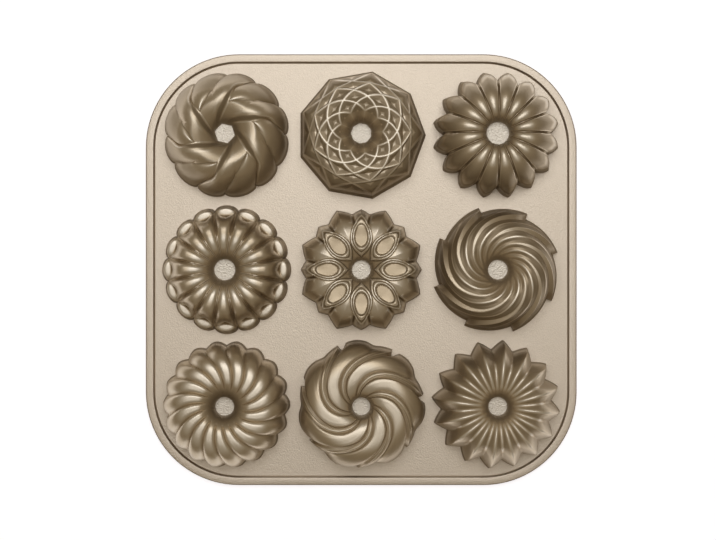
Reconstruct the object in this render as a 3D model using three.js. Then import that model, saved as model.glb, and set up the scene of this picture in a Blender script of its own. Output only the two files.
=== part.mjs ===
// Rosette cake pan: a square cast tray with nine ring-cake wells, each with its own pattern.
// It lies on its baking face with the rosettes standing up. Millimetres, +Z up. The origin is the
// middle of that flat face, so the tray's lower face is z = 0.
import * as THREE from 'three';

// Layout, driving dimensions
const WELLS_PER_SIDE = 3;
const ROSETTE_RADIUS = 42; // middle of a rosette to its farthest tip
const ROSETTE_GAP = 3.5; // between the tips of neighbours
const RIM_GAP = 3.9; // from the side rosettes' tips to the foot of the rim lip
const CORNER_GAP = 0.6; // the same in the corners, where the lip comes closest

// Tray and rim lip, driving dimensions
const DECK_THICKNESS = 3;
const RIM_TOP_WIDTH = 5.1;
const RIM_SLOPE = 1.5; // how far the lip's inner wall leans
const RIM_HEIGHT = 2.5;
const RIM_EDGE = 0.8; // chamfer of the lip's outer edge
const CORNER_STEPS = 9;

// Wells, driving dimensions
const WALL = 3;
const FLOOR_HEIGHT = 18; // of the disc in the middle, above the tray
const FUNNEL_DEPTH = 15; // from the crest down to that disc
const SEAM_SHARE = 0.45; // of the funnel's depth, where cup and post meet
const RELIEF_END = 1.35; // station in the funnel where the pattern has died out

const CREST_HEIGHT = FLOOR_HEIGHT + FUNNEL_DEPTH;
const SEAM_HEIGHT = FUNNEL_DEPTH * SEAM_SHARE;
const PITCH = 2 * ROSETTE_RADIUS + ROSETTE_GAP;
const RIM_WIDTH = RIM_TOP_WIDTH + RIM_SLOPE;
const EDGE_MARGIN = RIM_GAP + RIM_WIDTH;
const HALF_SIDE = (PITCH * (WELLS_PER_SIDE - 1)) / 2 + ROSETTE_RADIUS + EDGE_MARGIN;
const CORNER_SHIFT = (RIM_GAP - CORNER_GAP) / (Math.SQRT2 - 1);
const CORNER_RADIUS = ROSETTE_RADIUS + EDGE_MARGIN + CORNER_SHIFT;
const QUARTER = Math.PI / 2;
const TURN = 2 * Math.PI;

// The nine patterns, in rows from the back left. A pattern repeats `sectors` times. Each entry of
// `lobes` is one line that runs up the wall: its place across the sector, how far it lies inside the
// tip circle at the foot, and how deep it lies at the crest. `turn` is the first line's direction and
// `sweep` the degrees that a line turns for each millimetre outward. The crest and the disc are shares
// of the rosette's radius.
const ROSETTES = [
  {
    name: 'twist', sectors: 6, turn: 17.7, sweep: -2.6, inset: 1, crestShare: 0.488, discShare: 0.155,
    discSides: 6,
    lobes: [
      [0, 0, 0], [0.12, 0.7, 0.8], [0.205, 2.9, 2.2], [0.3, 0.7, 0.9], [0.438, 0, 0.4], [0.6, 0.8, 0.9],
      [0.738, 2.9, 2.4], [0.87, 0.8, 0.8],
    ],
  },
  {
    name: 'lattice', sectors: 9, turn: 0, sweep: 0, inset: 0.6, crestShare: 0.488, discShare: 0.155,
    discSides: 9,
    lobes: [[0, 0, 0], [0.25, 1.9, 0.6], [0.5, 2.5, 0.9], [0.75, 1.9, 0.6]],
  },
  {
    name: 'daisy', sectors: 16, turn: 11.25, sweep: 0, inset: 0.6, crestShare: 0.419, discShare: 0.171,
    discSides: 16,
    lobes: [[0, 0, 0], [0.3, 3, 0.2], [0.5, 7.2, 1.4], [0.7, 3, 0.2]],
  },
  {
    name: 'scallop', sectors: 16, turn: 0, sweep: 0, inset: 1, crestShare: 0.488, discShare: 0.160,
    discSides: 16,
    lobes: [[0, 0, 0], [0.3, 0.9, 0.7], [0.5, 2.9, 2], [0.7, 0.9, 0.7]],
  },
  {
    name: 'lotus', sectors: 8, turn: 0, sweep: 0, inset: 0.3, crestShare: 0.488, discShare: 0.145,
    discSides: 16,
    lobes: [
      [0, 2.3, 0], [0.2, 5.2, 0.5], [0.35, 2.5, 1.5], [0.5, 0, 2], [0.65, 2.5, 1.5], [0.8, 5.2, 0.5],
    ],
  },
  {
    name: 'rib', sectors: 8, turn: 15.5, sweep: -5.2, inset: 1, crestShare: 0.488, discShare: 0.148,
    discSides: 16,
    lobes: [[0, 0, 0], [0.25, 0.9, 1], [0.5, 1.8, 1.8], [0.75, 2.7, 1.5], [0.95, 3.6, 0.6]],
  },
  {
    name: 'flute', sectors: 18, turn: 0, sweep: 0.65, inset: 0.6, crestShare: 0.488, discShare: 0.143,
    discSides: 18,
    lobes: [[0, 0, 0], [0.3, 1.2, 0.8], [0.5, 2.9, 2.2], [0.7, 1.2, 0.8]],
  },
  {
    name: 'swirl', sectors: 7, turn: 12, sweep: -2.8, inset: 0, crestShare: 0.488, discShare: 0.136,
    discSides: 14,
    lobes: [
      [0, 1.6, 0.6], [0.35, 3.6, 2], [0.5, 0.9, 0.6], [0.67, 0, 0], [0.84, 1, 0.4], [0.96, 3.6, 1.6],
    ],
  },
  {
    name: 'star', sectors: 16, turn: 16.2, sweep: 0.23, inset: 0, crestShare: 0.488, discShare: 0.143,
    discSides: 16,
    lobes: [[0, 0, 0], [0.5, 5.9, 3]],
  },
];

// Stations along a well's section: 0 at the foot of the wall, 1 on the crest, 2 at the disc's edge.
const OUTER_STATIONS = [0, 0.22, 0.45, 0.72, 1, 1.2];
const CAVITY_STATIONS = [1, 0.6, 0.3, 0];
const POST_STEPS = 2;

// Cast aluminium with a champagne finish
function castFinish(color, roughness) {
  return new THREE.MeshStandardMaterial({ color, roughness, metalness: 1 });
}

// A closed skin through rings of points, each ring joined to the next and the last to the first
function closedSkin(rings) {
  const count = rings[0].length;
  const index = [];
  for (let ring = 0; ring < rings.length; ring += 1) {
    const here = ring * count;
    const above = ((ring + 1) % rings.length) * count;
    for (let point = 0; point < count; point += 1) {
      const next = (point + 1) % count;
      index.push(here + point, here + next, above + next);
      index.push(here + point, above + next, above + point);
    }
  }
  const geometry = new THREE.BufferGeometry().setFromPoints(rings.flat());
  geometry.setIndex(index);
  return geometry;
}

// The plain arch that carries a pattern: radius and height above the tray, with its outward normal.
// `inset` is 0 on the outside and WALL on the cavity side.
function archPoint(rosette, station, inset) {
  const crestRadius = rosette.crestShare * ROSETTE_RADIUS;
  if (station <= 1) {
    const angle = station * QUARTER;
    const run = ROSETTE_RADIUS - rosette.inset - inset - crestRadius;
    const rise = CREST_HEIGHT - inset;
    const normal = new THREE.Vector2(Math.cos(angle) / run, Math.sin(angle) / rise).normalize();
    return { radius: crestRadius + run * Math.cos(angle), height: rise * Math.sin(angle), normal };
  }
  const angle = (station - 1) * QUARTER;
  const run = crestRadius - rosette.discShare * ROSETTE_RADIUS - inset;
  return {
    radius: crestRadius - run * Math.sin(angle),
    height: FLOOR_HEIGHT - inset + FUNNEL_DEPTH * Math.cos(angle),
    normal: new THREE.Vector2(0, 1),
  };
}

// How far a line of the pattern lies below the arch at a station
function reliefDepth(footDepth, crestDepth, station) {
  if (station <= 1) {
    const { lerp, smoothstep } = THREE.MathUtils;
    return lerp(footDepth, crestDepth, smoothstep(station, 0, 1));
  }
  return crestDepth * (1 - THREE.MathUtils.smoothstep(station, 1, RELIEF_END));
}

// One ring of a well's skin, with the pattern's lines all round it
function wellRing(rosette, station, inset) {
  const arch = archPoint(rosette, station, inset);
  const { radius: outside } = archPoint(rosette, station, 0);
  const { radius: foot } = archPoint(rosette, 0, 0);
  const swept = THREE.MathUtils.degToRad(rosette.turn + rosette.sweep * (outside - foot));
  const ring = [];
  for (let sector = 0; sector < rosette.sectors; sector += 1) {
    for (const [across, footDepth, crestDepth] of rosette.lobes) {
      const depth = reliefDepth(footDepth, crestDepth, station);
      const radius = arch.radius - depth * arch.normal.x;
      const height = DECK_THICKNESS + arch.height - depth * arch.normal.y;
      const angle = swept + ((sector + across) / rosette.sectors) * TURN;
      ring.push(new THREE.Vector3(radius * Math.cos(angle), radius * Math.sin(angle), height));
    }
  }
  return ring;
}

// Station in the funnel that lies on the seam between cup and post
function seamStation(inset) {
  return 1 + Math.acos((SEAM_HEIGHT + inset) / FUNNEL_DEPTH) / QUARTER;
}

// The patterned wall of a well, from the tray over the crest and down to the seam
function cupGeometry(rosette) {
  const outside = [...OUTER_STATIONS, seamStation(0)];
  const cavity = [seamStation(WALL), ...CAVITY_STATIONS];
  return closedSkin([
    ...outside.map((station) => wellRing(rosette, station, 0)),
    ...cavity.map((station) => wellRing(rosette, station, WALL)),
  ]);
}

// The centre post below the seam, closed by the flat disc
function postGeometry(rosette) {
  const profile = [new THREE.Vector2(0, DECK_THICKNESS + FLOOR_HEIGHT - WALL)];
  for (const inset of [WALL, 0]) {
    const seam = seamStation(inset);
    const [first, last] = inset === 0 ? [seam, 2] : [2, seam];
    for (let step = 0; step <= POST_STEPS; step += 1) {
      const station = THREE.MathUtils.lerp(first, last, step / POST_STEPS);
      const { radius, height } = archPoint(rosette, station, inset);
      profile.push(new THREE.Vector2(radius, DECK_THICKNESS + height));
    }
  }
  profile.push(new THREE.Vector2(0, DECK_THICKNESS + FLOOR_HEIGHT));
  const geometry = new THREE.LatheGeometry(profile, rosette.discSides);
  geometry.rotateX(QUARTER);
  geometry.rotateZ(THREE.MathUtils.degToRad(rosette.turn));
  return geometry;
}

// The tray's outline at a distance inside its edge: a square with round corners
function trayOutline(inset) {
  const centre = HALF_SIDE - CORNER_RADIUS;
  const radius = CORNER_RADIUS - inset;
  const outline = [];
  for (let corner = 0; corner < 4; corner += 1) {
    const middle = (corner + 0.5) * QUARTER;
    const x = centre * Math.SQRT2 * Math.cos(middle);
    const y = centre * Math.SQRT2 * Math.sin(middle);
    for (let step = 0; step <= CORNER_STEPS; step += 1) {
      const angle = (corner + step / CORNER_STEPS) * QUARTER;
      outline.push(new THREE.Vector2(x + radius * Math.cos(angle), y + radius * Math.sin(angle)));
    }
  }
  return outline;
}

// The flat tray, open under each well
function deckGeometry(wells) {
  const shape = new THREE.Shape(trayOutline(0));
  for (const { rosette, x, y } of wells) {
    const mouth = wellRing(rosette, 0, WALL);
    shape.holes.push(new THREE.Path(mouth.map((p) => new THREE.Vector2(p.x + x, p.y + y))));
  }
  return new THREE.ExtrudeGeometry(shape, { depth: DECK_THICKNESS, bevelEnabled: false });
}

// The raised lip on the tray's edge: upright outside, chamfered, flat on top, leaning inside
function rimGeometry() {
  const top = DECK_THICKNESS + RIM_HEIGHT;
  const section = [
    [0, DECK_THICKNESS],
    [0, top - RIM_EDGE],
    [RIM_EDGE, top],
    [RIM_TOP_WIDTH, top],
    [RIM_WIDTH, DECK_THICKNESS],
  ];
  return closedSkin(
    section.map(([inset, height]) => trayOutline(inset).map((p) => new THREE.Vector3(p.x, p.y, height))),
  );
}

const middle = (WELLS_PER_SIDE - 1) / 2;
const wells = ROSETTES.map((rosette, place) => ({
  rosette,
  x: ((place % WELLS_PER_SIDE) - middle) * PITCH,
  y: (middle - Math.floor(place / WELLS_PER_SIDE)) * PITCH,
}));

const pan = new THREE.Group();

function addPiece(name, geometry, material, x = 0, y = 0) {
  const mesh = new THREE.Mesh(geometry, material);
  mesh.name = name;
  mesh.position.set(x, y, 0);
  pan.add(mesh);
}

addPiece('deck_plate', deckGeometry(wells), castFinish(0xcdbfa9, 0.45));
addPiece('rim_lip', rimGeometry(), castFinish(0xcfc1ab, 0.42));
for (const { rosette, x, y } of wells) {
  addPiece(`${rosette.name}_cup`, cupGeometry(rosette), castFinish(0xb8a684, 0.34), x, y);
  addPiece(`${rosette.name}_post`, postGeometry(rosette), castFinish(0xbfae8d, 0.38), x, y);
}

export default pan;
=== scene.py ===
"""Rosette cake pan, lying on its baking face with nine ring-cake rosettes standing up.

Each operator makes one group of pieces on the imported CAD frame: the tray, its rim lip, one fluted
wall for each of the nine patterns, and the flat discs in their middles. The last one makes the stage.
"""

import math

import bpy
import numpy as np
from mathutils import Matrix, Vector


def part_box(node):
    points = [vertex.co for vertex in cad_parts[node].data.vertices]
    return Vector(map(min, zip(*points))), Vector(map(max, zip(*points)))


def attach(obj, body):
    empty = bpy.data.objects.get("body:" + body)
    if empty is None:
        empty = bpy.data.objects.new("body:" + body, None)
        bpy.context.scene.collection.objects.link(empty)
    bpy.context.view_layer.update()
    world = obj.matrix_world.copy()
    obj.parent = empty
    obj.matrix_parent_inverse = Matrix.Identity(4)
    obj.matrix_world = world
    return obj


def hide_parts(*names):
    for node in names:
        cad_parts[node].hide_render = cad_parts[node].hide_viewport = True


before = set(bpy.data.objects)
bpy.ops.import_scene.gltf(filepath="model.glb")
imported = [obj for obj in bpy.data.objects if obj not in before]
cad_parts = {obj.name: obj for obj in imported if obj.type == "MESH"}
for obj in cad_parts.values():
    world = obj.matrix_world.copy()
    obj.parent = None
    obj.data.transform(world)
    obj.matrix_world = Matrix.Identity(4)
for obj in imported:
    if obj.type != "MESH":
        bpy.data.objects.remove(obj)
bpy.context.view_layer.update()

bl_info = {
    "name": "Rosette Cake Pan",
    "version": (1, 0, 0),
    "blender": (4, 5, 0),
    "location": "3D View > Sidebar > Cake Pan",
    "description": "Builds a square pan of nine ring-cake rosettes on its CAD frame",
    "category": "Object",
}

MM = 0.001
TURN = 2 * math.pi
# Thickness of the cast wall and of the discs
WALL = 3 * MM
NAMES = ("twist", "lattice", "daisy", "scallop", "lotus", "rib", "flute", "swirl", "star")


# Measures of the frame


def box_centre(node):
    low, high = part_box(node)
    return (low + high) / 2


DECK_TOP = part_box("deck_plate")[1].z
TRAY_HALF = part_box("deck_plate")[1].x
RIM_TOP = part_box("rim_lip")[1].z
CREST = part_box("flute_cup")[1].z
DISC_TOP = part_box("star_post")[0].z + WALL
PITCH = box_centre("star_post").x


def well_centre(name):
    place = NAMES.index(name)
    return np.array([(place % 3 - 1) * PITCH, (1 - place // 3) * PITCH, 0.0])


# Settings


class PanSizes(bpy.types.PropertyGroup):
    """Sizes that the CAD frame doesn't fix"""

    wall: bpy.props.FloatProperty(
        name="Wall", description="Thickness of the cast wall", default=WALL, min=0.5 * MM, unit="LENGTH"
    )
    corner: bpy.props.FloatProperty(
        name="Corner Radius", description="Round of the tray's corners", default=60.5 * MM, unit="LENGTH"
    )
    rim_top: bpy.props.FloatProperty(
        name="Rim Width", description="Flat top of the rim lip", default=5.1 * MM, unit="LENGTH"
    )
    rim_foot: bpy.props.FloatProperty(
        name="Rim Foot", description="Tray edge to the lip's inner foot", default=6.0 * MM, unit="LENGTH"
    )
    edge_round: bpy.props.FloatProperty(
        name="Edge Round", description="Rounding of the lip's edges", default=0.8 * MM, unit="LENGTH"
    )


class PanFinish(bpy.types.PropertyGroup):
    """Colours and finish of the coated casting"""

    tray: bpy.props.FloatVectorProperty(
        name="Tray", description="Pale champagne of tray and rim", default=(0.778, 0.702, 0.61),
        min=0, max=1, subtype="COLOR",
    )
    disc: bpy.props.FloatVectorProperty(
        name="Disc", description="Paler metal of the discs", default=(0.82, 0.775, 0.705),
        min=0, max=1, subtype="COLOR",
    )
    # Painted shade: the same champagne coating as the tray, made deeper so that the rosettes read as shaded
    rosette: bpy.props.FloatVectorProperty(
        name="Rosette", description="Deeper champagne of the rosettes", default=(0.65, 0.55, 0.41),
        min=0, max=1, subtype="COLOR",
    )
    # Painted highlight: the paler colour laid on ridges and crest tops where light would catch them
    ridge: bpy.props.FloatVectorProperty(
        name="Ridge", description="Brighter coating on the ridges", default=(0.96, 0.9, 0.8),
        min=0, max=1, subtype="COLOR",
    )
    # Painted shade: the dark colour laid in creases, along the feet, low on the walls and by the discs
    crease: bpy.props.FloatVectorProperty(
        name="Crease", description="Darker coating in the creases", default=(0.16, 0.112, 0.062),
        min=0, max=1, subtype="COLOR",
    )
    tray_roughness: bpy.props.FloatProperty(
        name="Tray Roughness", description="Satin finish of tray and rim", default=0.4, min=0, max=1,
        subtype="FACTOR",
    )
    rosette_roughness: bpy.props.FloatProperty(
        name="Rosette Roughness", description="Smoother finish of the rosettes", default=0.37, min=0, max=1,
        subtype="FACTOR",
    )
    dulling: bpy.props.FloatProperty(
        name="Dulling", description="Roughness added in the creases", default=0.25, min=0, max=1,
        subtype="FACTOR",
    )
    metallic: bpy.props.FloatProperty(
        name="Metallic", description="Metal share of the rosettes' coating", default=0.75, min=0, max=1,
        subtype="FACTOR",
    )


class PanStage(bpy.types.PropertyGroup):
    """Light and camera"""

    front: bpy.props.FloatProperty(
        name="Front Panel", description="Brightness of the soft panel overhead", default=0.92, min=0
    )
    back: bpy.props.FloatProperty(
        name="Back Panel", description="Brightness of the panel behind it", default=1.9, min=0
    )
    room: bpy.props.FloatProperty(name="Room", description="Brightness of the room", default=0.2, min=0)
    camera_height: bpy.props.FloatProperty(
        name="Camera Height", description="Camera above the tray", default=1.222, unit="LENGTH"
    )
    lens: bpy.props.FloatProperty(name="Lens", description="Focal length in millimetres", default=94.4)


# Modelling helpers


def only(obj):
    """Makes obj the one selected object."""
    bpy.ops.object.select_all(action="DESELECT")
    bpy.context.view_layer.objects.active = obj
    obj.select_set(True)


def places(obj):
    """Where the vertices are, one row for each."""
    flat = np.empty(len(obj.data.vertices) * 3, np.float32)
    obj.data.vertices.foreach_get("co", flat)
    return flat.reshape(-1, 3).astype(float)


def grid(name, columns, rows):
    """A flat grid, with the place of each vertex across and along it, from 0 to 1."""
    bpy.ops.object.select_all(action="DESELECT")
    bpy.ops.mesh.primitive_grid_add(x_subdivisions=columns, y_subdivisions=rows, size=2)
    obj = bpy.context.object
    obj.name = obj.data.name = name
    flat = places(obj)
    return obj, (flat[:, 0] + 1) / 2, (flat[:, 1] + 1) / 2


def put(obj, points, painted_shading=None):
    """Moves the vertices to these points and stores painted light and shade for each: low for a painted
    highlight, high for painted shade.
    """
    obj.data.vertices.foreach_set("co", np.ascontiguousarray(points, np.float32).ravel())
    if painted_shading is not None:
        layer = obj.data.attributes.new("painted_shading", "FLOAT", "POINT")
        layer.data.foreach_set("value", np.ascontiguousarray(painted_shading, np.float32))
    obj.data.update()


def weld(obj, spin=0, centre=(0, 0, 0), smooth=40):
    """Copies a sector round its centre, joins the seams and turns every face outward."""
    only(obj)
    bpy.ops.object.mode_set(mode="EDIT")
    bpy.ops.mesh.select_all(action="SELECT")
    if spin:
        angle = TURN * (spin - 1) / spin
        bpy.ops.mesh.spin(steps=spin - 1, dupli=True, angle=angle, center=centre, axis=(0, 0, 1))
        bpy.ops.mesh.select_all(action="SELECT")
    bpy.ops.mesh.remove_doubles(threshold=2e-6)
    bpy.ops.mesh.normals_make_consistent(inside=False)
    bpy.ops.object.mode_set(mode="OBJECT")
    bpy.ops.object.shade_smooth_by_angle(angle=math.radians(smooth))


def finish_piece(obj, material, slot, *nodes):
    """Gives the piece its material and its place in the frame."""
    obj.data.materials.clear()
    obj.data.materials.append(material)
    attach(obj, "root")
    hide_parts(*nodes)


def ease(x, low, high):
    """0 below low, 1 above high and a smooth step between."""
    t = np.clip((x - low) / (high - low), 0, 1)
    return t * t * (3 - 2 * t)


def mix(a, b, t):
    return a + (b - a) * t


def frac(x):
    return x - np.floor(x)


def curve(x, knots):
    """A smooth line through a few measured points."""
    xs, ys = np.array(knots, float).T
    slopes = np.gradient(ys, xs)
    i = np.clip(np.searchsorted(xs, x) - 1, 0, len(xs) - 2)
    h = xs[i + 1] - xs[i]
    t = np.clip((x - xs[i]) / h, 0, 1)
    rise = ys[i] * (1 + 2 * t) * (1 - t) ** 2 + ys[i + 1] * t * t * (3 - 2 * t)
    return rise + h * t * (1 - t) * (slopes[i] * (1 - t) - slopes[i + 1] * t)


def line(x, knots):
    """Straight lines through a few measured points."""
    xs, ys = np.array(knots, float).T
    return np.interp(x, xs, ys)


def zigzag(x, rounding):
    """0 at whole numbers and 1 midway, straight between, with both turns rounded."""
    low = math.acos(1 - rounding)
    return (np.arccos((1 - rounding) * np.cos(TURN * x)) - low) / (math.pi - 2 * low)


def lobe(x):
    """0 in the middle of 0 to 1 and 1 at its ends, round like a rope."""
    q = np.clip(2 * x - 1, -1, 1)
    return 1 - np.sqrt(np.maximum(1 - q * q, 0))


def flute(across):
    """0 along the top of a round flute and 1 in the groove beside it."""
    rounding = 0.03
    return 1 - np.sqrt(np.cos(np.pi * across) ** 2 + rounding**2)


STEP_AT = 0.985


def to_step(across, column):
    """Moves a column to STEP_AT, so that those after it lie on the narrow step at a sector's end."""
    after = STEP_AT + (across - column) * (1 - STEP_AT) / (1 - column)
    return np.where(across < column, across * STEP_AT / column, after)


# The nine patterns. Lengths are in millimetres, angles in degrees. A station runs from 0 at the wall's
# foot over 1 on the crest to 2 at the disc's edge, and `across` from 0 to 1 over one sector. The lowest
# stations, up to EDGE, are the steep foot that carries the outline.

RISE = (CREST - DECK_TOP) / MM
FLOOR = (DISC_TOP - DECK_TOP) / MM
EDGE = 0.2


class Pattern:
    """What the nine patterns share"""

    # Copies round the middle, columns in one copy, rows from foot to disc, and the first copy's turn
    sectors, columns, rows, turn = 16, 32, 130, 0.0
    # Radii of the outline, the crest and the disc
    foot, crest, disc = 41.4, 20.5, 6.2
    # Height of the steep foot and how far it leans in
    step, lean = 7.0, 1.2
    # Roundness of the dome and the funnel, and how far the dome follows the outline
    fullness, hollowness = 2.0, 2.0
    cut = 1.0
    # Stations over which the pattern fades in the funnel, and the depth that it fades to
    fade = (1.05, 1.4)
    valley = 0.8
    # Painted shade low on the wall, in creases and by the disc, and painted highlight along the ridges and
    # on the crest
    low_shade, low_span = 0.5, (0.3, 0.7)
    top_shine, top_span = 0.5, (14, 17, 23, 28)
    line_dark = 0.5
    dark_funnel = (1.3, 1.8)

    def outline(self, u):
        """How far the foot lies inside its largest radius."""
        return 0.0 * u

    def depth(self, u, a, r):
        """How far the surface lies below the plain dome."""
        return 0.0 * r

    def painted_tone(self, u, a, r):
        """Painted shade, up to 1, or painted highlight, down to -1."""
        return 0.0 * r

    def sweep(self, r):
        """How far the pattern is turned at a radius."""
        return 0.0 * r

    def disc_edge(self, angle):
        """The disc's edge at an angle, as a share of its radius."""
        return 1.0 + 0.0 * angle

    def spread(self, across, a):
        """Where the columns lie across a sector."""
        return across

    def dome(self, u, r, inset):
        """Height of the plain dome, which falls to the outline as far as `cut` says."""
        reach = self.foot - self.lean - self.cut * self.outline(u) - inset - self.crest
        q = np.clip((r - self.crest) / reach, 0, 1)
        step = self.step - 0.5 * inset
        return step + (RISE - inset - step) * (1 - q**self.fullness) ** (1 / self.fullness)

    def funnel(self, a, inset):
        """Radius and height of the plain funnel, from the crest down to the disc."""
        b, power = np.clip(a - 1, 0, 1) * math.pi / 2, 2 / self.hollowness
        into, down = np.sin(b) ** power, np.maximum(np.cos(b), 0) ** power
        r = self.crest - (self.crest - self.disc - inset) * into
        return r, FLOOR - inset + (RISE - FLOOR) * down

    def radius(self, a):
        """Radius of the plain dome and funnel at a station."""
        t = np.clip((a - EDGE) / (1 - EDGE), 0, 1)
        return np.where(a > 1, self.funnel(a, 0.0 * a)[0], mix(self.foot, self.crest, t))

    def shape(self, u, a, r, inset):
        """Radius and height over the dome, above the steep foot."""
        depth = self.depth(u, a, self.radius(a)) * ease(a, EDGE, EDGE + 0.2)
        near, steepest = 0.02, -2.5
        fall = self.dome(u, r + near, inset) - self.dome(u, r - near, inset)
        slope = np.clip(fall / (2 * near), steepest, 0)
        size = np.hypot(1, slope)
        return r + depth * slope / size, self.dome(u, r, inset) - depth / size

    def surface(self, u, a, inset):
        """Radius and height of the carved wall, on every station."""
        foot = self.foot - inset - self.outline(u)
        top = np.maximum(a, EDGE)
        t = np.clip((top - EDGE) / (1 - EDGE), 0, 1)
        r, z = self.shape(u, top, mix(foot - self.lean, self.crest, t), inset)
        k = np.clip(a / EDGE, 0, 1)
        r, z = mix(foot, r, k), z * k
        inner_r, inner_z = self.funnel(a, inset)
        depth = self.depth(u, a, self.radius(a))
        depth = mix(depth, self.valley, ease(a, *self.fade)) * (1 - ease(a, 1.5, 1.95))
        return np.where(a > 1, inner_r, r), np.where(a > 1, inner_z - depth, z)

    def stations(self):
        """Stations at even steps along the wall, from the foot to the disc."""
        a = np.linspace(0, 2, 2001)
        r, z = self.surface(0 * a, a, 0 * a)
        length = np.concatenate([[0], np.cumsum(np.hypot(np.diff(r), np.diff(z)))])
        return np.interp(np.linspace(0, length[-1], self.rows + 1), length, a)

    def skin(self, across, a, inset):
        """Points of one sector about the rosette's middle."""
        u = self.spread(across, a)
        r, z = self.surface(u, a, inset)
        angle = np.radians(self.turn + self.sweep(self.radius(a)) + u * 360 / self.sectors)
        r = r * mix(1, self.disc_edge(np.degrees(angle)), ease(a, 1.6, 2))
        return np.stack([r * np.cos(angle), r * np.sin(angle), z], -1)

    def painted_shading(self, across, a):
        """Painted light and shade on a grid of rows by columns: 0 for painted highlight on a ridge, a half
        on plain walls and 1 for painted shade in a crease.
        """
        u, r = self.spread(across, a), self.radius(a)
        depth = self.depth(u, a, r)
        side = (np.roll(depth[:, :-1], 2, 1) + np.roll(depth[:, :-1], -2, 1)) / 2 - depth[:, :-1]
        side = np.concatenate([side, side[:, :1]], 1)
        ahead = np.zeros_like(depth)
        ahead[2:-2] = (depth[4:] + depth[:-4]) / 2 - depth[2:-2]
        bend = (side + ahead) * ease(a, EDGE, EDGE + 0.08) * (1 - ease(a, *self.fade))
        painted_tone = self.painted_tone(u, a, r)
        # Painted shade: a dark line along the steep foot where the wall meets the tray
        dark = 0.6 * (1 - ease(a, 0.7 * EDGE, EDGE + 0.03))
        # Painted shade low on the wall
        dark = np.maximum(dark, self.low_shade * (1 - ease(a, *self.low_span)))
        # Painted shade in the funnel by the disc, and the pattern's own painted shade
        dark = np.maximum(dark, np.maximum(0.5 * ease(a, *self.dark_funnel), painted_tone))
        # Painted shade in the creases that the relief bends into
        dark = np.maximum(dark, np.clip(-bend / 0.3, 0, 1) * self.line_dark)
        # Painted highlight along the crest band, on bent-up ridges and from the pattern's own painted
        # highlight
        inner, full, still, outer = self.top_span
        top = ease(r, inner, full) * (1 - ease(r, still, outer)) * np.exp(-((depth / 0.6) ** 2))
        bright = np.maximum(np.maximum(np.clip(bend / 0.28, 0, 1), self.top_shine * top), -painted_tone)
        return np.clip(0.5 + 0.5 * dark - 0.5 * bright * (1 - dark), 0, 1)


class Twist(Pattern):
    """Six long ropes with a short one tucked under each"""

    sectors, columns, turn = 6, 90, 60.5
    foot, disc = 41.0, 6.6
    fade = (1.6, 1.95)
    line_dark = 0.4
    low_shade, top_shine = 0.4, 0.25

    def sweep(self, r):
        return curve(r, [(6.6, 64), (7.5, 53.5), (9, 43), (10.5, 36), (12.9, 29), (16, 23.5), (19.1, 20),
                         (22.3, 18.8), (25.5, 18.5), (28.8, 17.5), (32.2, 16), (38.4, 5), (41, 0)])

    def facet(self, r):
        """Width of the flat face beside a long rope."""
        return curve(r, [(6.6, 30), (9, 27.5), (12, 23.2), (16, 17.5), (20, 12.8), (22.3, 10.3), (25.5, 5.8),
                         (28.8, 3.4), (32.2, 1.6), (35, 1), (41, 0.8)])

    def crease(self, r):
        """Where a long rope meets the short one under it."""
        return curve(r, [(6, 60), (18, 60), (19.8, 58.5), (22.3, 47), (25.5, 37.5), (28.8, 31), (32.2, 26.5),
                         (35.6, 26.5), (38.4, 28), (41, 28.2)])

    def ridge(self, r):
        """The top of a long rope."""
        return mix(self.facet(r), self.crease(r), 0.16)

    def lobes(self, u):
        """The ends of a long and a short rope side by side: 0 along their tops and 1 where they meet."""
        s, end = u * 60, 28.2
        return np.where(s < end, lobe(s / end), lobe((s - end) / (60 - end)))

    def outline(self, u):
        return 2.9 * self.lobes(u)

    def depth(self, u, a, r):
        s, facet, crease, ridge = u * 60, self.facet(r), self.crease(r), self.ridge(r)
        q = np.clip((s - ridge) / (crease - ridge), 0, 1)
        end = mix(2.2, 1.9, ease(crease, 50, 60))
        long_rope = np.where(s < ridge, 0.25 * ((ridge - s) / (ridge - facet)) ** 2, end * q**1.5)
        p = np.clip((s - crease) / np.maximum(60 - crease, 0.1), 0, 1)
        short_rope = 1.2 + np.where(p < 0.45, 1.0 * (1 - p / 0.45) ** 2, 0.7 * ((p - 0.45) / 0.55) ** 2)
        wall = mix(1.9, 0.25, ease(s, 0, facet))
        upper = np.where(s < facet, wall, np.where(s < crease, long_rope, short_rope))
        return mix(2.0 * self.lobes(u), upper, ease(a, EDGE, 0.55))

    # Painted shade on the flat face beside each long rope, and painted highlight along the rope's top and
    # the edge lines
    def painted_tone(self, u, a, r):
        s, facet, degree = u * 60, self.facet(r), r * TURN / 360
        shade = 0.55 * ease(s, 0.1 * facet, 0.3 * facet) * (1 - ease(s, 0.75 * facet, 1.1 * facet))
        edge = 0.7 * (1 - ease(np.minimum(s, 60 - s) * degree, 0.3, 0.7)) * (1 - ease(a, 1.5, 1.75))
        top = 0.4 * (1 - ease(np.abs(s - self.ridge(r)) * degree, 0.4, 1.8))
        top = top * ease(r, 12, 15) * ease(r, 30, 26)
        return (shade - np.maximum(edge, top)) * ease(a, 0.4, 0.55)

    def disc_edge(self, angle):
        return math.cos(math.pi / 6) / np.cos(np.radians((angle - 47) % 60 - 30))


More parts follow.
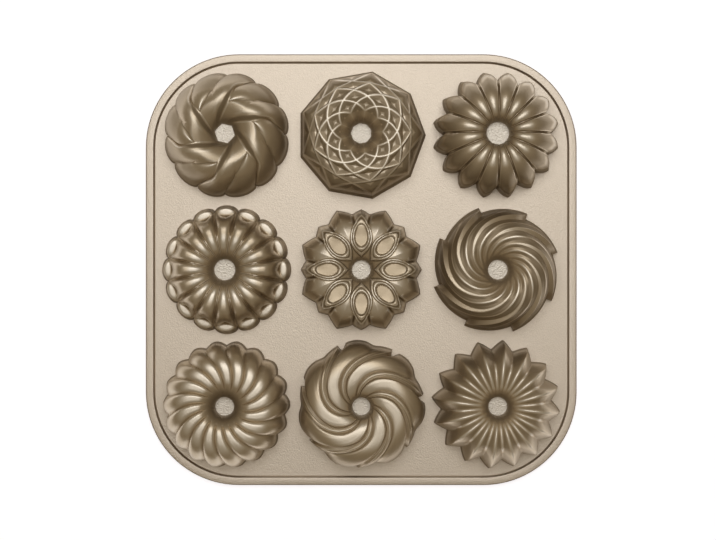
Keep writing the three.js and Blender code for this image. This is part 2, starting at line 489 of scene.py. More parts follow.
class Lattice(Pattern):
    """Ridges that cross both ways, with a faceted hollow in each diamond"""

    sectors, columns, rows = 9, 48, 176
    foot, disc, lean = 42.1, 6.5, 1.9
    fade = (1.6, 1.95)
    low_shade, top_shine = 0.2, 0.0
    dark_funnel = (1.4, 1.8)
    line_dark = 0.2
    fullness, hollowness = 2.5, 2.3

    def outline(self, u):
        x = np.radians(frac(u) * 40 - 20)
        return self.foot * (1 - math.cos(math.radians(20)) / np.cos(x))

    def hollow(self, u, r):
        """0 on the ridges and 0.9 in the hollows. Inside the lattice, nine round flutes lead to the disc."""
        v = curve(r, [(13.4, 0), (18.2, 1), (23.2, 2), (28.7, 3), (33, 4), (36.5, 5), (41.6, 6)])
        one, two = frac(u + v / 2) - 0.5, frac(u - v / 2) - 0.5
        tent = np.minimum(
            np.minimum((one + 0.5) / 0.42, (0.5 - one) / 0.58),
            np.minimum((two + 0.5) / 0.58, (0.5 - two) / 0.42),
        )
        rounding = 0.05
        return np.minimum(np.sqrt(tent**2 + rounding**2) - rounding, 0.9)

    def depth(self, u, a, r):
        return mix(2.8, 1.5, ease(r, 29, 24) * ease(r, 11, 15)) * self.hollow(u, r) * ease(a, EDGE, 0.32)

    # Painted highlight on the ridges and as a dot deep in each hollow, painted shade on the hollows' faces
    # and on the lobes by the disc
    def painted_tone(self, u, a, r):
        hollow = self.hollow(u, r)
        shade = line(hollow, [(0, -1), (0.05, -1), (0.14, 0.5), (0.62, 0.5), (0.76, -0.8), (0.9, -0.8)])
        lobe_dark = line(hollow, [(0.1, 0), (0.5, 0.25)])
        return mix(shade * ease(a, EDGE, 0.3), lobe_dark, ease(r, 14.2, 12.8))

    def disc_edge(self, angle):
        return 0.94 + 0.06 * np.abs(np.sin(np.radians(angle * 4.5)))


class Daisy(Pattern):
    """Sixteen pointed petals with a narrow groove between them"""

    sectors, columns, rows, turn = 16, 40, 128, 11.25
    foot, crest, disc = 41.4, 17.6, 7.2
    fullness, hollowness = 2.0, 2.6
    fade = (1.4, 1.8)
    valley = 0.6
    cut = 0.5
    line_dark = 0.4
    low_shade, low_span = 0.4, (0.5, 0.9)
    top_shine, top_span = 0.6, (11, 13, 20, 25)

    def away(self, u):
        """0 along the middle of a petal and 1 in the groove beside it."""
        return np.abs(2 * (frac(u + 0.5) - 0.5))

    def outline(self, u):
        x = self.away(u)
        return 7.2 * (x - 0.6 * x * (1 - x))

    def depth(self, u, a, r):
        x = self.away(u)
        beside = (1 - x) / 2 * TURN * r / 16
        groove = 1.1 * (1 - ease(beside, 0.35, 1.0)) - 0.45 * (1 - ease(beside, 0.0, 0.35))
        return groove + mix(0.7, 1.5, ease(a, 0.6, 0.95)) * x * x

    # Painted shade beside the grooves between petals and painted highlight along the petal tips
    def painted_tone(self, u, a, r):
        x = self.away(u)
        beside = (1 - x) / 2 * TURN * r / 16
        groove = 0.6 * ease(beside, 0.2, 0.5) * (1 - ease(beside, 0.7, 1.2)) * (1 - ease(a, 1.1, 1.3))
        tip = 1.2 * ease(a, 0.23, 0.26) * (1 - ease(a, 0.28, 0.4)) * (1 - ease(x, 0.4, 0.8))
        return groove - tip


class Scallop(Pattern):
    """Sixteen flutes above a ring of sixteen beads"""

    sectors, columns, rows = 16, 32, 150
    foot, disc, lean = 42.0, 6.7, 2.2
    fade = (1.35, 1.75)
    valley = 1.4
    hollowness = 2.2
    low_shade = 0.0
    line_dark = 0.3
    top_shine, top_span = 0.9, (12, 15, 20, 25)
    # Distance from bead to bead, and half a bead's length and width
    bead_pitch, half_length, half_width = TURN * 37 / 16, 7.55, 4

    def beside(self, u):
        """Distance along the ring from a bead's middle, in half lengths of a bead."""
        return (frac(u + 0.5) - 0.5) * self.bead_pitch / self.half_length

    def outline(self, u):
        return self.half_width * (1 - np.sqrt(1 - self.beside(u) ** 2))

    def depth(self, u, a, r):
        groove = np.abs(frac(u) - 0.5) * TURN * r / 16
        return 2.4 * np.abs(2 * (frac(u + 0.5) - 0.5)) ** 2.6 - 0.9 * (1 - ease(groove, 0.2, 0.9))

    def shape(self, u, a, r, inset):
        low, side = flute(u), self.beside(u)
        q = np.clip((r - self.crest) / (mix(33.8, 38.6, low) - inset - self.crest), 0, 1)
        power = mix(3.6, 1.3, low)
        wall = 5 + (RISE - 5 - inset) * (1 - q**power) ** (1 / power)
        wall = wall - self.depth(u, a, self.radius(a)) * (1 - ease(q, 0.1, 0.8))
        bead = np.maximum(1 - (((r - 37.2) / self.half_width) ** 2 + side**2) ** 2, 0)
        bead = self.step - 0.5 * inset + (4.5 - 0.5 * inset) * np.sqrt(bead)
        return r, np.minimum((wall + bead + np.sqrt((wall - bead) ** 2 + 0.5)) / 2, RISE - inset)

    # Painted shade on the wall above the beads and painted highlight on the bead tops
    def painted_tone(self, u, a, r):
        wall = 0.25 * ease(r, 28.4, 31) * (1 - ease(r, 34.9, 35.9))
        bead = 0.85 * ease(((r - 39.9) / 3.1) ** 2 + (self.beside(u) / 0.85) ** 2, 1, 0.5)
        return (wall - bead) * (a < 1)


class Lotus(Pattern):
    """Eight almonds with two ridges round a flat eye, between pointed fans"""

    sectors, columns, rows = 8, 56, 190
    foot, disc = 41.7, 6.1
    fullness, hollowness = 2.2, 2.3
    fade = (1.55, 1.9)
    valley = 1.2
    cut = 0.85
    line_dark = 0.0
    low_shade, top_shine = 0.0, 0.0
    dark_funnel = (1.5, 1.9)
    # Half an almond's width and length
    half_width, half_length = 6.8, 12.6

    def outline(self, u):
        x = np.abs(frac(u + 0.5) - 0.5) * 2
        return np.where(x < 0.4, mix(2.3, 5.2, x / 0.4), 5.2 * (1 - x) / 0.6)

    def inside(self, u, r):
        """Radius on the wall itself, which lies inside the plain radius below the crest."""
        reach = (self.foot - self.lean - self.outline(u) - self.crest) / (self.foot - self.crest)
        return np.where(r > self.crest, self.crest + (r - self.crest) * reach, r)

    def spread(self, across, a):
        """Draws the columns together on the almonds' ridges."""
        r = self.inside(0.0, self.radius(a))
        half = self.half_width * (1 - ((r - 21) / self.half_length) ** 2) / (TURN / 8 * r)
        half = np.clip(half, 0.03, 0.46) * 1.06
        half = mix(half, 0.38, np.maximum(ease(r, 30, 34), 1 - ease(r, 8, 11)))
        c = np.minimum(across, 1 - across)
        eye, fan = c / 0.08 * 0.45 * half, half + (c - 0.38) / 0.12 * (0.5 - half)
        ridges = mix(0.45, 1, (c - 0.08) / 0.3) * half
        off = np.where(c < 0.08, eye, np.where(c < 0.38, ridges, fan))
        return np.where(across < 0.5, off, 1 - off)

    def across_axis(self, u, r):
        """Distance from the axis of the nearest almond."""
        return np.abs(frac(u + 0.5) - 0.5) * TURN / 8 * r

    def into(self, u, r):
        """Distance inside an almond's edge, measured across it. The rings are rounder towards the eye."""
        r = self.inside(u, r)
        wide, long = self.across_axis(u, r) / self.half_width, ((r - 21.4) / self.half_length) ** 2
        pointed, rounded = (wide + np.sqrt(wide**2 + 4 * long)) / 2, np.sqrt(wide**2 + 1.2 * long)
        return self.half_width * (1 - mix(pointed, rounded, ease(pointed, 1, 0.6)))

    def beside(self, u, r):
        """Distance outside the narrow petal that carries an almond to the outline."""
        r = self.inside(u, r)
        return self.across_axis(u, r) - mix(4.2, 5.8, (r - 28) / 9)

    def depth(self, u, a, r):
        into, beside = self.into(u, r), self.beside(u, r)
        rings = line(into, [(-5, 0.5), (-2.5, 0.9), (-0.6, 1.2), (-0.25, 0.8), (0, 0.1), (0.7, 0.1),
                            (0.9, 0.4), (1.35, 0.4), (1.55, 0.1), (2.1, 0.1), (2.3, 0.4), (2.8, 0.4)])
        rings = np.where(into < 0, rings * ease(r, 38, 26), rings)
        drop = RISE - np.where(a > 1, self.funnel(a, 0.0)[1], self.dome(0.5, r, 0.0))
        lift = np.minimum(0.4 * drop, 1.8) * ease(into, -0.4, 0.2)
        eye = np.maximum(1.7 - drop, 0.1 - lift)
        low = ease(r, 30, 35)
        gable = np.clip(-beside / 5, 0, 1) * low
        crease = 1.3 * np.clip(1 - np.abs(beside) / 1.3, 0, 1) * low
        return mix(rings - lift, eye, ease(into, 2.7, 3.0)) - gable + crease

    # Painted highlight on the ring tops, the eye and the fans' inner ends, painted shade in the grooves
    # between rings and in the creases by the fans
    def painted_tone(self, u, a, r):
        into, beside = self.into(u, r), self.beside(u, r)
        rings = line(into, [(-0.9, 0), (-0.5, 0.6), (-0.2, 0.6), (0, -0.8), (0.7, -0.8), (0.9, 0.75),
                            (1.35, 0.75), (1.55, -0.8), (2.1, -0.8), (2.3, 0.75), (2.8, 0.75), (2.95, -1)])
        fan = 0.6 * ease(-into, 0.6, 1.4) * ease(r, 12, 16) * (1 - ease(r, 28, 37))
        crease = 0.7 * (1 - ease(np.abs(beside), 0.2, 0.9)) * ease(r, 30, 35)
        return ease(a, 0.22, 0.3) * (np.maximum(rings, crease) - fan)

    def disc_edge(self, angle):
        return 1 - 0.05 * np.abs(np.sin(np.radians(angle * 8)))


class Rib(Pattern):
    """Eight curved blades, each ending in a step"""

    sectors, columns, turn = 8, 64, 15.5
    foot, disc, lean = 41.8, 6.2, 2.0
    fade = (1.3, 1.65)
    fullness = 2.4
    line_dark, top_shine = 0.0, 0.0
    low_shade = 0.35

    def spread(self, across, a):
        return to_step(across, 0.92)

    def sweep(self, r):
        return curve(r, [(6.2, 144), (16.9, 98), (20.8, 82), (27.1, 61), (30.4, 49.8), (33.5, 36.5),
                         (39.9, 6.8), (41.8, 0)])

    def outline(self, u):
        return 3.6 * np.where(u < STEP_AT, u / STEP_AT, (1 - u) / (1 - STEP_AT))

    def beside(self, u, r):
        """Distance from the nearest ridge, which turns by about 4.4 degrees a millimetre."""
        return np.abs(frac(2 * u + 0.5) - 0.5) * TURN * r / 16 / np.hypot(1, r * 4.4 * TURN / 360)

    def depth(self, u, a, r):
        return mix(0.8, 0.15, ease(r, 14, 20.5)) * np.maximum(self.beside(u, r) - 0.35, 0)

    # Painted highlight along the ridge lines, stronger on every other one, and painted shade on the flanks
    # between
    def painted_tone(self, u, a, r):
        strong = mix(0.9, 0.5, np.cos(TURN * u) / 2 + 0.5) * mix(0.5, 1, ease(r, 30, 24))
        strong = strong * ease(a, EDGE, 0.4)
        flank = mix(0.1, 0.6, ease(r, 16, 21))
        return mix(-strong, flank, ease(self.beside(u, r), 0.3, 0.6)) * (1 - ease(a, 1.25, 1.5))


class Flute(Pattern):
    """Eighteen round flutes with a slight turn"""

    sectors, columns = 18, 28
    foot, disc = 41.4, 6.0
    fade = (1.15, 1.45)
    valley = 0.5
    fullness, hollowness = 2.6, 2.6
    line_dark = 0.25
    low_shade, top_shine = 0.1, 0.8
    top_span = (14, 17, 27, 33)
    dark_funnel = (1.2, 1.5)

    def sweep(self, r):
        return 0.77 * (r - self.foot)

    def outline(self, u):
        return 2.9 * flute(u)

    def depth(self, u, a, r):
        x = np.abs(2 * (frac(u + 0.5) - 0.5))
        return mix(1.2, 1.5, ease(a, 0.5, 0.9)) * (1.3 * x**4 - 0.3 * x**12)


class Swirl(Pattern):
    """Seven broad bands, each beside a narrow rib"""

    sectors, columns, turn = 7, 76, 9.0
    foot, disc = 42.0, 5.7
    fade = (1.5, 1.9)
    fullness, hollowness = 3.0, 3.0
    line_dark, top_shine = 0.4, 0.6
    top_span = (8, 12, 25, 31)
    low_shade = 0.3
    dark_funnel = (1.5, 1.9)

    def spread(self, across, a):
        return to_step(across, 0.94)

    def sweep(self, r):
        return -2.64 * (r - self.foot)

    def outline(self, u):
        return curve(u, [(0, 0.9), (0.2, 2), (0.33, 2.7), (0.5, 0.8), (0.68, 0), (0.84, 0.7), (STEP_AT, 2.8),
                         (1, 0.9)])

    def depth(self, u, a, r):
        return curve(u, [(0, 0.15), (0.05, 0.6), (0.11, 0.15), (0.2, 0.5), (0.27, 1.5), (0.34, 0.5),
                         (0.44, 0.12), (0.56, 0.01), (0.66, 0.01), (0.8, 0.08), (0.9, 0.4), (0.96, 1.3),
                         (1, 0.15)])


class Star(Pattern):
    """Sixteen sharp ridges that end in points"""

    sectors, columns, turn = 16, 32, 16.2
    foot, disc = 42.0, 6.0
    fade = (1.3, 1.65)
    fullness, hollowness = 2.3, 2.3
    line_dark = 0.0
    low_shade, top_shine = 0.3, 0.4

    def outline(self, u):
        return 5.9 * zigzag(u, 0.008)

    def depth(self, u, a, r):
        return zigzag(u, 0.1) * curve(r, [(6, 1.2), (14, 1.8), (20.5, 2.3), (30, 2.1), (42, 1.6)])

    # Painted highlight along the ridge and valley lines and painted shade on the flanks between
    def painted_tone(self, u, a, r):
        away = np.minimum(np.abs(frac(u + 0.5) - 0.5), np.abs(frac(u) - 0.5)) * TURN * r / 16
        shade = line(away, [(0, -1), (0.5, -1), (0.9, -0.1), (1.4, 0.3)])
        return shade * ease(a, 0.35, 0.6) * (1 - ease(a, 1.25, 1.5))


PATTERNS = {
    "twist": Twist(), "lattice": Lattice(), "daisy": Daisy(),
    "scallop": Scallop(), "lotus": Lotus(), "rib": Rib(),
    "flute": Flute(), "swirl": Swirl(), "star": Star(),
}


# Materials


def grain_group():
    """Fine cast grain: a tint, a roughness and a normal that vary over the surface."""
    name = "CastGrain"
    if name in bpy.data.node_groups:
        return bpy.data.node_groups[name]
    tree = bpy.data.node_groups.new(name, "ShaderNodeTree")
    face = tree.interface
    colour = face.new_socket("Tint", in_out="INPUT", socket_type="NodeSocketColor")
    colour.default_value = (0.8, 0.8, 0.8, 1)
    for label, value in (("Roughness", 0.4), ("Grain", 0.1), ("Size", 900.0)):
        face.new_socket(label, in_out="INPUT", socket_type="NodeSocketFloat").default_value = value
    face.new_socket("Colour", in_out="OUTPUT", socket_type="NodeSocketColor")
    face.new_socket("Roughness", in_out="OUTPUT", socket_type="NodeSocketFloat")
    face.new_socket("Normal", in_out="OUTPUT", socket_type="NodeSocketVector")
    add, link = tree.nodes.new, tree.links.new
    given, out = add("NodeGroupInput"), add("NodeGroupOutput")
    place = add("ShaderNodeTexCoord")
    fine, broad = add("ShaderNodeTexNoise"), add("ShaderNodeTexNoise")
    fine.inputs["Detail"].default_value = 3
    broad.inputs["Scale"].default_value = 14
    broad.inputs["Detail"].default_value = 4
    link(place.outputs["Object"], fine.inputs["Vector"])
    link(place.outputs["Object"], broad.inputs["Vector"])
    link(given.outputs["Size"], fine.inputs["Scale"])
    bump = add("ShaderNodeBump")
    bump.inputs["Distance"].default_value = 0.0004
    link(given.outputs["Grain"], bump.inputs["Strength"])
    link(fine.outputs["Fac"], bump.inputs["Height"])
    link(bump.outputs["Normal"], out.inputs["Normal"])
    shade = add("ShaderNodeMapRange")
    shade.inputs["To Min"].default_value = 0.94
    shade.inputs["To Max"].default_value = 1.06
    link(broad.outputs["Fac"], shade.inputs["Value"])
    speck, scaled, around = (add("ShaderNodeMath") for _ in range(3))
    speck.operation, scaled.operation, around.operation = "SUBTRACT", "MULTIPLY", "MULTIPLY_ADD"
    speck.inputs[1].default_value = 0.5
    around.inputs[1].default_value = 0.5
    link(fine.outputs["Fac"], speck.inputs[0])
    link(speck.outputs["Value"], scaled.inputs[0])
    link(given.outputs["Grain"], scaled.inputs[1])
    link(scaled.outputs["Value"], around.inputs[0])
    link(shade.outputs["Result"], around.inputs[2])
    tinted = add("ShaderNodeMix")
    tinted.data_type, tinted.blend_type = "RGBA", "MULTIPLY"
    tinted.inputs["Factor"].default_value = 1
    link(given.outputs["Tint"], tinted.inputs["A"])
    link(around.outputs["Value"], tinted.inputs["B"])
    link(tinted.outputs["Result"], out.inputs["Colour"])
    rough = add("ShaderNodeMath")
    rough.operation = "MULTIPLY"
    link(given.outputs["Roughness"], rough.inputs[0])
    link(shade.outputs["Result"], rough.inputs[1])
    link(rough.outputs["Value"], out.inputs["Roughness"])
    return tree


# Strength and fineness of the grain
TRAY_GRAIN, DISC_GRAIN, ROSETTE_GRAIN = (0.4, 1500), (0.9, 1000), (0.1, 900)


def metal(name, tint, roughness, grain, painted_light_and_dulling=False, metallic=1.0):
    """Coated cast aluminium. With the painted light flag set, a stored map lays a painted highlight on
    ridges and painted shade in creases, and the creases grow duller.
    """
    if name in bpy.data.materials:
        return bpy.data.materials[name]
    finish = bpy.context.scene.pan_finish
    material = bpy.data.materials.new(name)
    material.use_nodes = True
    tree = material.node_tree
    tree.nodes.clear()
    add, link = tree.nodes.new, tree.links.new
    out, shader = add("ShaderNodeOutputMaterial"), add("ShaderNodeBsdfPrincipled")
    cast = add("ShaderNodeGroup")
    cast.node_tree = grain_group()
    cast.inputs["Tint"].default_value = (*tint, 1)
    cast.inputs["Roughness"].default_value = roughness
    cast.inputs["Grain"].default_value, cast.inputs["Size"].default_value = grain
    shader.inputs["Metallic"].default_value = metallic
    if painted_light_and_dulling:
        # Painted light: ridge colour for painted highlight, crease colour for painted shade and the plain
        # tint between, read from the stored map
        painted_shading = add("ShaderNodeAttribute")
        painted_shading.attribute_name = "painted_shading"
        ramp = add("ShaderNodeValToRGB")
        ramp.color_ramp.elements[0].color = (*finish.ridge, 1)
        ramp.color_ramp.elements[1].color = (*finish.crease, 1)
        ramp.color_ramp.elements.new(0.5).color = (*tint, 1)
        link(painted_shading.outputs["Fac"], ramp.inputs["Fac"])
        link(ramp.outputs["Color"], cast.inputs["Tint"])
        dull = add("ShaderNodeMapRange")
        dull.inputs["From Min"].default_value = 0.5
        dull.inputs["To Min"].default_value = roughness
        dull.inputs["To Max"].default_value = roughness + finish.dulling
        link(painted_shading.outputs["Fac"], dull.inputs["Value"])
        link(dull.outputs["Result"], cast.inputs["Roughness"])
    link(cast.outputs["Colour"], shader.inputs["Base Color"])
    link(cast.outputs["Roughness"], shader.inputs["Roughness"])
    link(cast.outputs["Normal"], shader.inputs["Normal"])
    link(shader.outputs["BSDF"], out.inputs["Surface"])
    return material


def tray_metal():
    finish = bpy.context.scene.pan_finish
    return metal("ChampagneSatin", finish.tray, finish.tray_roughness, TRAY_GRAIN)


def rim_metal():
    finish = bpy.context.scene.pan_finish
    # The lip takes painted shade on its outer foot and rounded edges from the stored map
    return metal("ChampagneEdge", finish.tray, finish.tray_roughness, TRAY_GRAIN, painted_light_and_dulling=True)


def disc_metal():
    finish = bpy.context.scene.pan_finish
    return metal("ChampagneDisc", finish.disc, finish.tray_roughness, DISC_GRAIN)


def rosette_metal():
    finish = bpy.context.scene.pan_finish
    # The rosettes take painted highlight on ridges and crest, and painted shade in creases, low on the walls
    # and by the discs
    return metal(
        "ChampagneSmooth", finish.rosette, finish.rosette_roughness, ROSETTE_GRAIN, painted_light_and_dulling=True,
        metallic=finish.metallic,
    )


def paper():
    """Matt white that glows to the camera and in reflections, and adds no other light."""
    material = bpy.data.materials.new("Paper")
    material.use_nodes = True
    tree = material.node_tree
    tree.nodes.clear()
    add, link = tree.nodes.new, tree.links.new
    out, matt = add("ShaderNodeOutputMaterial"), add("ShaderNodeBsdfDiffuse")
    glow, both = add("ShaderNodeEmission"), add("ShaderNodeAddShader")
    path = add("ShaderNodeLightPath")
    first, seen, share = (add("ShaderNodeMath") for _ in range(3))
    matt.inputs["Color"].default_value = (0.9, 0.9, 0.9, 1)
    first.operation = seen.operation = "MAXIMUM"
    share.operation = "MULTIPLY"
    glow.inputs["Color"].default_value = (0.93, 0.94, 1, 1)
    share.inputs[1].default_value = 0.75
    link(path.outputs["Is Camera Ray"], first.inputs[0])
    link(path.outputs["Is Glossy Ray"], first.inputs[1])
    link(first.outputs["Value"], seen.inputs[0])
    link(path.outputs["Is Transmission Ray"], seen.inputs[1])
    link(seen.outputs["Value"], share.inputs[0])
    link(share.outputs["Value"], glow.inputs["Strength"])
    link(matt.outputs["BSDF"], both.inputs[0])
    link(glow.outputs["Emission"], both.inputs[1])
    link(both.outputs["Shader"], out.inputs["Surface"])
    return material


# Pieces


def tray_outline(inset, steps=24):
    """The tray's outline at a distance inside its edge."""
    sizes = bpy.context.scene.pan_sizes
    centre, radius = TRAY_HALF - sizes.corner, sizes.corner - inset
    quarter = np.radians(np.linspace(0, 90, steps + 1))
    corner = np.stack([centre + radius * np.cos(quarter), centre + radius * np.sin(quarter)], 1)
    turned = [corner]
    for _ in range(3):
        last = turned[-1]
        turned.append(np.stack([-last[:, 1], last[:, 0]], 1))
    return np.concatenate(turned)


def rosette_wall(name):
    """The fluted wall of one well: one sector is shaped, then copied round the middle."""
    pattern = PATTERNS[name]
    wall = bpy.context.scene.pan_sizes.wall / MM
    outer = pattern.stations()
    # The inside needs fewer rows
    back = np.concatenate([np.linspace(2, 1, 9), np.linspace(1, EDGE, 17)[1:], [0]])
    # The last row closes the foot
    station = np.concatenate([outer, back, [0]])
    inset = np.concatenate([0 * outer, 0 * back + wall, [0]])
    obj, across, along = grid(f"{name}_wall", pattern.columns, len(station) - 1)
    row = np.rint(along * (len(station) - 1)).astype(int)
    points = pattern.skin(across, station[row], inset[row])
    centre = well_centre(name)
    rows, columns = np.meshgrid(station, np.linspace(0, 1, pattern.columns + 1), indexing="ij")
    # Painted light and shade for the outer skin; the inner skin and the closing row stay plain
    painted_tone = pattern.painted_shading(columns, rows)
    painted_tone[len(outer):] = 0.5
    column = np.rint(across * pattern.columns).astype(int)
    put(obj, points * MM + [0, 0, DECK_TOP] + centre, painted_tone[row, column])
    weld(obj, pattern.sectors, centre)
    finish_piece(obj, rosette_metal(), "rosette", f"{name}_cup")


class PAN_OT_tray(bpy.types.Operator):
    """Make the flat tray, open under each well"""

    bl_idname = "pan.tray"
    bl_label = "Tray"

    def execute(self, context):
        bpy.ops.object.select_all(action="DESELECT")
        sizes = context.scene.pan_sizes
        outline = bpy.data.curves.new("tray", "CURVE")
        outline.dimensions, outline.fill_mode = "2D", "BOTH"
        outline.extrude = DECK_TOP / 2
        # The tray's side lies a hair inside the lip's
        hair = 0.02 * MM
        loops = [tray_outline(hair)]
        for name in NAMES:
            pattern = PATTERNS[name]
            across = np.linspace(0, 1, pattern.columns, endpoint=False)
            zero = np.zeros_like(across)
            sector = pattern.skin(across, zero, zero + sizes.wall / MM)[:, :2] * MM
            ring = []
            for t in np.arange(pattern.sectors) * TURN / pattern.sectors:
                ring.append(sector @ np.array([[math.cos(t), math.sin(t)], [-math.sin(t), math.cos(t)]]))
            loops.append(np.concatenate(ring) + well_centre(name)[:2])
        for loop in loops:
            spline = outline.splines.new("POLY")
            spline.points.add(len(loop) - 1)
            points = np.column_stack([loop, np.zeros(len(loop)), np.ones(len(loop))])
            spline.points.foreach_set("co", points.ravel())
            spline.use_cyclic_u = True
        obj = bpy.data.objects.new("tray", outline)
        context.scene.collection.objects.link(obj)
        only(obj)
        bpy.ops.object.convert(target="MESH")
        obj = context.object
        bpy.ops.transform.translate(value=(0, 0, DECK_TOP / 2))
        bpy.ops.object.transform_apply(location=True)
        weld(obj, smooth=30)
        finish_piece(obj, tray_metal(), "deck", "deck_plate")
        return {"FINISHED"}


class PAN_OT_rim(bpy.types.Operator):
    """Make the raised lip round the tray's edge"""

    bl_idname = "pan.rim"
    bl_label = "Rim Lip"

    def execute(self, context):
        sizes = context.scene.pan_sizes
        bend = np.radians(np.linspace(0, 90, 7))
        outer, inner = sizes.edge_round, sizes.edge_round / 2
        # Inset, height and painted shade from the outer foot over the top to the inner foot, and back below:
        # painted shade on the outer foot and both rounded edges, plain on the flat top
        section = [(0, DECK_TOP, 0.9)]
        for b in bend:
            inset, drop = outer * (1 - math.cos(b)), outer * (1 - math.sin(b))
            section.append((inset, RIM_TOP - drop, 0.5 + 0.4 * math.cos(b)))
        for b in bend:
            inset, drop = sizes.rim_top - inner * (1 - math.sin(b)), inner * (1 - math.cos(b))
            section.append((inset, RIM_TOP - drop, 0.5 + 0.2 * math.sin(b)))
        section += [(sizes.rim_foot, DECK_TOP, 0.45), (0, DECK_TOP, 0.5)]
        path = len(tray_outline(0))
        obj, across, along = grid("rim", path, len(section) - 1)
        column = np.rint(across * path).astype(int) % path
        row = np.rint(along * (len(section) - 1)).astype(int)
        rings = np.stack([np.column_stack([tray_outline(i), np.full(path, z)]) for i, z, _ in section])
        put(obj, rings[row, column], np.array([painted_tone for _, _, painted_tone in section])[row])
        weld(obj, smooth=30)
        finish_piece(obj, rim_metal(), "rim", "rim_lip")
        return {"FINISHED"}


class WallOperator:
    """What the nine wall operators share"""

    def execute(self, context):
        rosette_wall(self.well)
        return {"FINISHED"}


class PAN_OT_twist(WallOperator, bpy.types.Operator):
    """Make the wall with six twisted pairs of ropes"""

    bl_idname = "pan.twist"
    bl_label = "Twist"
    well = "twist"


class PAN_OT_lattice(WallOperator, bpy.types.Operator):
    """Make the wall with crossing ridges"""

    bl_idname = "pan.lattice"
    bl_label = "Lattice"
    well = "lattice"


class PAN_OT_daisy(WallOperator, bpy.types.Operator):
    """Make the wall with sixteen pointed petals"""

    bl_idname = "pan.daisy"
    bl_label = "Daisy"
    well = "daisy"


class PAN_OT_scallop(WallOperator, bpy.types.Operator):
    """Make the wall with flutes above a ring of beads"""

    bl_idname = "pan.scallop"
    bl_label = "Scallop"
    well = "scallop"


class PAN_OT_lotus(WallOperator, bpy.types.Operator):
    """Make the wall with eight almonds"""

    bl_idname = "pan.lotus"
    bl_label = "Lotus"
    well = "lotus"


class PAN_OT_rib(WallOperator, bpy.types.Operator):
    """Make the wall with eight curved blades"""

    bl_idname = "pan.rib"
    bl_label = "Rib"
    well = "rib"


class PAN_OT_flute(WallOperator, bpy.types.Operator):
    """Make the wall with eighteen flutes"""

    bl_idname = "pan.flute"
    bl_label = "Flute"
    well = "flute"


class PAN_OT_swirl(WallOperator, bpy.types.Operator):
    """Make the wall with seven broad bands"""

    bl_idname = "pan.swirl"
    bl_label = "Swirl"
    well = "swirl"


class PAN_OT_star(WallOperator, bpy.types.Operator):
    """Make the wall with sixteen sharp points"""

    bl_idname = "pan.star"
    bl_label = "Star"
    well = "star"


class PAN_OT_discs(bpy.types.Operator):
    """Make the flat disc in the middle of each rosette"""

    bl_idname = "pan.discs"
    bl_label = "Discs"

    def execute(self, context):
        wall = context.scene.pan_sizes.wall
        for name in NAMES:
            pattern = PATTERNS[name]
            bpy.ops.object.select_all(action="DESELECT")
            bpy.ops.mesh.primitive_cylinder_add(vertices=144, radius=1, depth=wall, end_fill_type="NGON")
            obj = context.object
            obj.name = obj.data.name = f"{name}_disc"
            p = places(obj)
            angle = np.arctan2(p[:, 1], p[:, 0])
            low = p[:, 2] < 0
            r = (pattern.disc * MM + np.where(low, wall, 0)) * pattern.disc_edge(np.degrees(angle))
            z = DISC_TOP - np.where(low, wall, 0)
            put(obj, np.column_stack([r * np.cos(angle), r * np.sin(angle), z]) + well_centre(name))
            weld(obj, smooth=30)
            finish_piece(obj, disc_metal(), "post", f"{name}_post")
        return {"FINISHED"}


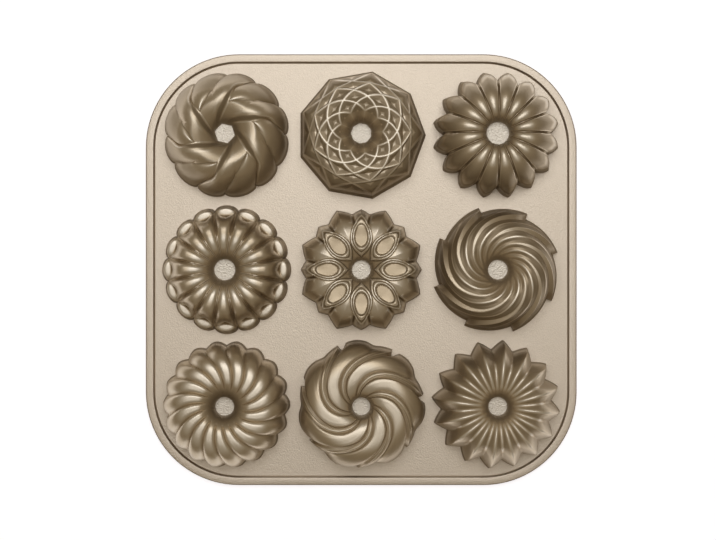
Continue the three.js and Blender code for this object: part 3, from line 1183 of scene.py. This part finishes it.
class PAN_OT_stage(bpy.types.Operator):
    """Make the floor, the light and the camera"""

    bl_idname = "pan.stage"
    bl_label = "Stage"

    def execute(self, context):
        scene, settings = context.scene, context.scene.pan_stage
        bpy.ops.object.select_all(action="DESELECT")
        bpy.ops.mesh.primitive_plane_add(size=24, location=(0, 0, -0.0003))
        floor = context.object
        floor.name = "floor"
        floor.data.materials.append(paper())

        world = bpy.data.worlds.new("Room")
        scene.world = world
        world.use_nodes = True
        ground = world.node_tree.nodes["Background"]
        ground.inputs["Color"].default_value = (1, 0.8, 0.52, 1)
        ground.inputs["Strength"].default_value = settings.room

        width, above = 1.5, 2.0
        panels = (("panel_front", 0.0, 0.6, settings.front), ("panel_back", 0.75, 0.9, settings.back))
        for name, y, depth, bright in panels:
            bpy.ops.object.light_add(type="AREA", location=(0, y, above))
            panel = context.object
            panel.name = name
            panel.data.shape, panel.data.size, panel.data.size_y = "RECTANGLE", width, depth
            panel.data.energy = bright * math.pi * width * depth
            panel.data.color = (1, 0.99, 0.975)

        place = (-0.0021, -0.0002, DECK_TOP + settings.camera_height)
        bpy.ops.object.camera_add(location=place, rotation=(0, 0, 0))
        camera = context.object
        camera.data.lens, camera.data.sensor_width = settings.lens, 36
        camera.data.clip_start, camera.data.clip_end = 0.05, 40
        scene.camera = camera
        scene.view_settings.view_transform = "Standard"
        return {"FINISHED"}


class PAN_PT_panel(bpy.types.Panel):
    """Lists the settings and the steps"""

    bl_idname = "PAN_PT_panel"
    bl_label = "Rosette Cake Pan"
    bl_space_type = "VIEW_3D"
    bl_region_type = "UI"
    bl_category = "Cake Pan"

    def draw(self, context):
        for group in (context.scene.pan_sizes, context.scene.pan_finish, context.scene.pan_stage):
            for key in group.__annotations__:
                self.layout.prop(group, key)
        for step in STEPS:
            self.layout.operator(step.bl_idname)


STEPS = (
    PAN_OT_tray, PAN_OT_rim,
    PAN_OT_twist, PAN_OT_lattice, PAN_OT_daisy,
    PAN_OT_scallop, PAN_OT_lotus, PAN_OT_rib,
    PAN_OT_flute, PAN_OT_swirl, PAN_OT_star,
    PAN_OT_discs, PAN_OT_stage,
)
CLASSES = (PanSizes, PanFinish, PanStage, *STEPS, PAN_PT_panel)


def register():
    for cls in CLASSES:
        bpy.utils.register_class(cls)
    bpy.types.Scene.pan_sizes = bpy.props.PointerProperty(type=PanSizes)
    bpy.types.Scene.pan_finish = bpy.props.PointerProperty(type=PanFinish)
    bpy.types.Scene.pan_stage = bpy.props.PointerProperty(type=PanStage)


def unregister():
    del bpy.types.Scene.pan_stage, bpy.types.Scene.pan_finish, bpy.types.Scene.pan_sizes
    for cls in reversed(CLASSES):
        bpy.utils.unregister_class(cls)


def main():
    register()
    bpy.ops.pan.tray()
    bpy.ops.pan.rim()
    bpy.ops.pan.twist()
    bpy.ops.pan.lattice()
    bpy.ops.pan.daisy()
    bpy.ops.pan.scallop()
    bpy.ops.pan.lotus()
    bpy.ops.pan.rib()
    bpy.ops.pan.flute()
    bpy.ops.pan.swirl()
    bpy.ops.pan.star()
    bpy.ops.pan.discs()
    bpy.ops.pan.stage()


if __name__ == "__main__":
    main()
